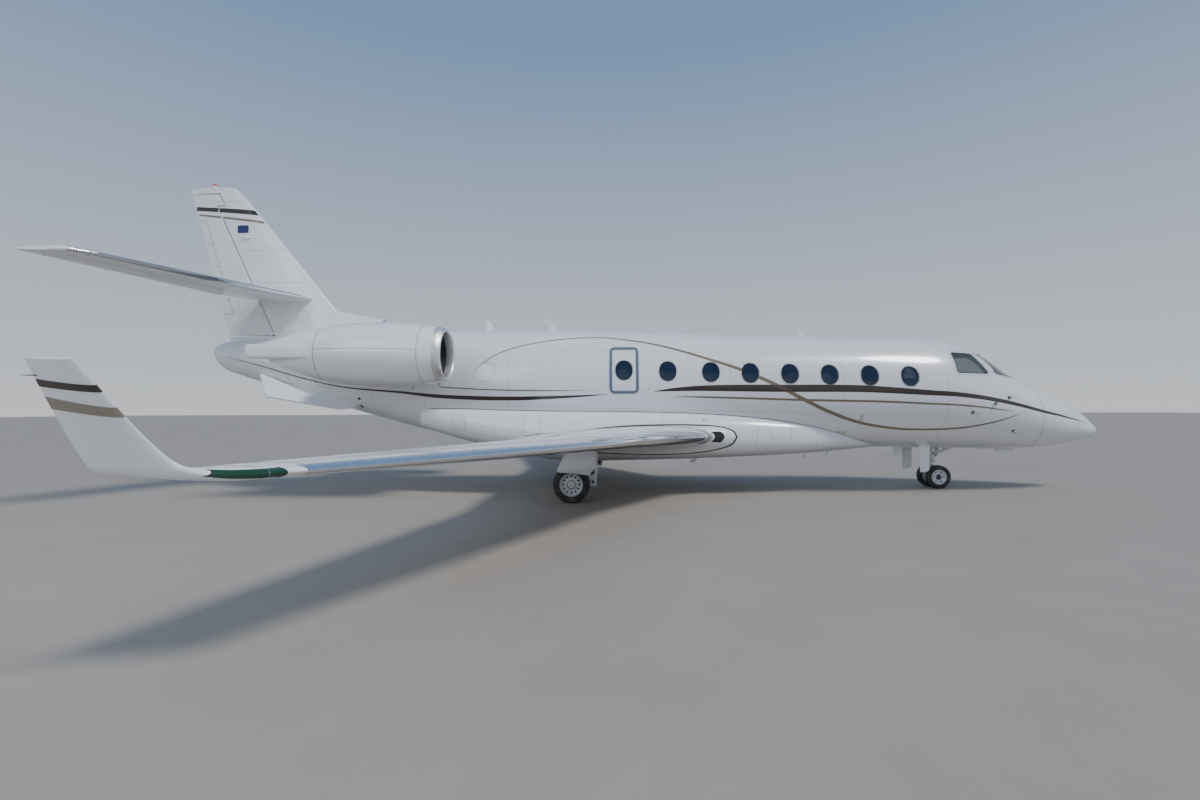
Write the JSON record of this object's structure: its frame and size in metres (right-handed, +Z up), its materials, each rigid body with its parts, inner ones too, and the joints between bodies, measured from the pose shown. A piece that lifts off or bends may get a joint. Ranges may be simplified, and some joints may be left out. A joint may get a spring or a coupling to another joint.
{
  "type": "business jet",
  "caption": "Swept-wing business jet with aft engines, cruciform tail, winglets and twin-wheel landing gear, with turning fans and wheels, steering, hinged doors and controls.",
  "frame": {"origin": "on the ground under the middle of the overall length, on the plane of symmetry", "axes": "+X towards the nose, +Y to port, +Z up"},
  "size_m": [18.9478, 17.6996, 6.525],
  "materials": {
    "white_paint": "gloss enamel",
    "radome_paint": "gloss enamel over composite",
    "cockpit_glass": "clear, tinted",
    "cabin_glass": "clear, dark behind",
    "polished_metal": "polished",
    "engine_metal": "dull, heat stained",
    "fan_metal": "satin",
    "gear_paint": "satin enamel",
    "wheel_metal": "satin enamel",
    "tyre_rubber": "matt",
    "cabin_trim": "matt",
    "cockpit_trim": "matt"
  },
  "bodies": {
    "airframe": {"nose_section": "white_paint", "cabin_section": "white_paint", "escape_hatch": "white_paint", "tail_section": "white_paint", "wing_left": "white_paint", "wing_right": "white_paint", "flap_left": "white_paint", "flap_right": "white_paint", "winglet_left": "white_paint", "winglet_right": "white_paint", "belly_fairing": "white_paint", "fin": "white_paint", "stabiliser_left": "white_paint", "stabiliser_right": "white_paint", "pylon_left": "white_paint", "pylon_right": "white_paint", "engine_cowl_left": "white_paint", "engine_cowl_right": "white_paint", "reverser_left": "white_paint", "reverser_right": "white_paint", "radome": "radome_paint", "windscreen_left": "cockpit_glass", "cockpit_window_left": "cockpit_glass", "cabin_windows_left": "cabin_glass", "leading_edge_left": "polished_metal", "inlet_lip_left": "polished_metal", "engine_core_left": "engine_metal", "main_leg_left": "gear_paint", "nose_gear_door_left": "gear_paint", "windscreen_right": "cockpit_glass", "cockpit_window_right": "cockpit_glass", "cabin_windows_right": "cabin_glass", "leading_edge_right": "polished_metal", "inlet_lip_right": "polished_metal", "engine_core_right": "engine_metal", "main_leg_right": "gear_paint", "nose_gear_door_right": "gear_paint", "cabin_interior": "cabin_trim", "cockpit_interior": "cockpit_trim", "nose_strut": "gear_paint"},
    "fan_left": {"fan_left": "fan_metal"},
    "fan_right": {"fan_right": "fan_metal"},
    "main_wheels_left": {"main_hubs_left": "wheel_metal", "main_tyre_left_outer": "tyre_rubber", "main_tyre_left_inner": "tyre_rubber"},
    "main_wheels_right": {"main_hubs_right": "wheel_metal", "main_tyre_right_outer": "tyre_rubber", "main_tyre_right_inner": "tyre_rubber"},
    "nose_steering": {"nose_fork": "gear_paint"},
    "nose_wheels": {"nose_hubs": "wheel_metal", "nose_tyre_left": "tyre_rubber", "nose_tyre_right": "tyre_rubber"},
    "entry_door": {"entry_door": "white_paint"},
    "baggage_door": {"baggage_door": "white_paint"},
    "rudder": {"rudder": "white_paint"},
    "elevator_left": {"elevator_left": "white_paint"},
    "elevator_right": {"elevator_right": "white_paint"},
    "aileron_left": {"aileron_left": "white_paint"},
    "aileron_right": {"aileron_right": "white_paint"}
  },
  "joints": [
    {"name": "entry_door_hinge", "type": "hinge", "parent": "airframe", "child": "entry_door", "pos_m": [5.36, 0.875, 1.19], "axis": [-1, 0, 0], "range_deg": [0, 125]},
    {"name": "baggage_door_hinge", "type": "hinge", "parent": "airframe", "child": "baggage_door", "pos_m": [-2.9, 1.158, 2.235], "axis": [1, 0, 0], "range_deg": [0, 80]},
    {"name": "rudder_hinge", "type": "hinge", "parent": "airframe", "child": "rudder", "pos_m": [-7.5912, 0, 3.235], "axis": [-0.4224, 0, 0.9064], "range_deg": [-25, 25]},
    {"name": "elevator_left_hinge", "type": "hinge", "parent": "airframe", "child": "elevator_left", "pos_m": [-7.8731, 0.19, 4.0068], "axis": [-0.3493, 0.9366, 0.0273], "range_deg": [-15, 20]},
    {"name": "elevator_right_hinge", "type": "hinge", "parent": "airframe", "child": "elevator_right", "pos_m": [-7.8731, -0.19, 4.0068], "axis": [0.3493, 0.9366, -0.0273], "range_deg": [-15, 20]},
    {"name": "aileron_left_hinge", "type": "hinge", "parent": "airframe", "child": "aileron_left", "pos_m": [-2.3373, 6.18, 1.2139], "axis": [-0.2917, 0.9563, 0.0222], "range_deg": [-20, 20]},
    {"name": "aileron_right_hinge", "type": "hinge", "parent": "airframe", "child": "aileron_right", "pos_m": [-2.3373, -6.18, 1.2139], "axis": [0.2917, 0.9563, -0.0222], "range_deg": [-20, 20]},
    {"name": "fan_left_spin", "type": "hinge", "parent": "airframe", "child": "fan_left", "pos_m": [-3.74995, 1.75, 2.62623], "axis": [0.9999, 0, -0.0145], "continuous": true},
    {"name": "fan_right_spin", "type": "hinge", "parent": "airframe", "child": "fan_right", "pos_m": [-3.74995, -1.75, 2.62623], "axis": [0.9999, 0, -0.0145], "continuous": true},
    {"name": "main_wheels_left_spin", "type": "hinge", "parent": "airframe", "child": "main_wheels_left", "pos_m": [-1.074, 1.8, 0.322], "axis": [0, 1, 0], "continuous": true},
    {"name": "main_wheels_right_spin", "type": "hinge", "parent": "airframe", "child": "main_wheels_right", "pos_m": [-1.074, -1.8, 0.322], "axis": [0, 1, 0], "continuous": true},
    {"name": "nose_steering", "type": "hinge", "parent": "airframe", "child": "nose_steering", "pos_m": [6.195, 0, 0.5], "axis": [0, 0, 1], "range_deg": [-60, 60]},
    {"name": "nose_wheels_spin", "type": "hinge", "parent": "nose_steering", "child": "nose_wheels", "pos_m": [6.229, 0, 0.236], "axis": [0, 1, 0], "continuous": true}
  ],
  "couplings": [
    {"joint": "elevator_right_hinge", "follows": "elevator_left_hinge", "ratio": 1},
    {"joint": "aileron_right_hinge", "follows": "aileron_left_hinge", "ratio": -1}
  ]
}
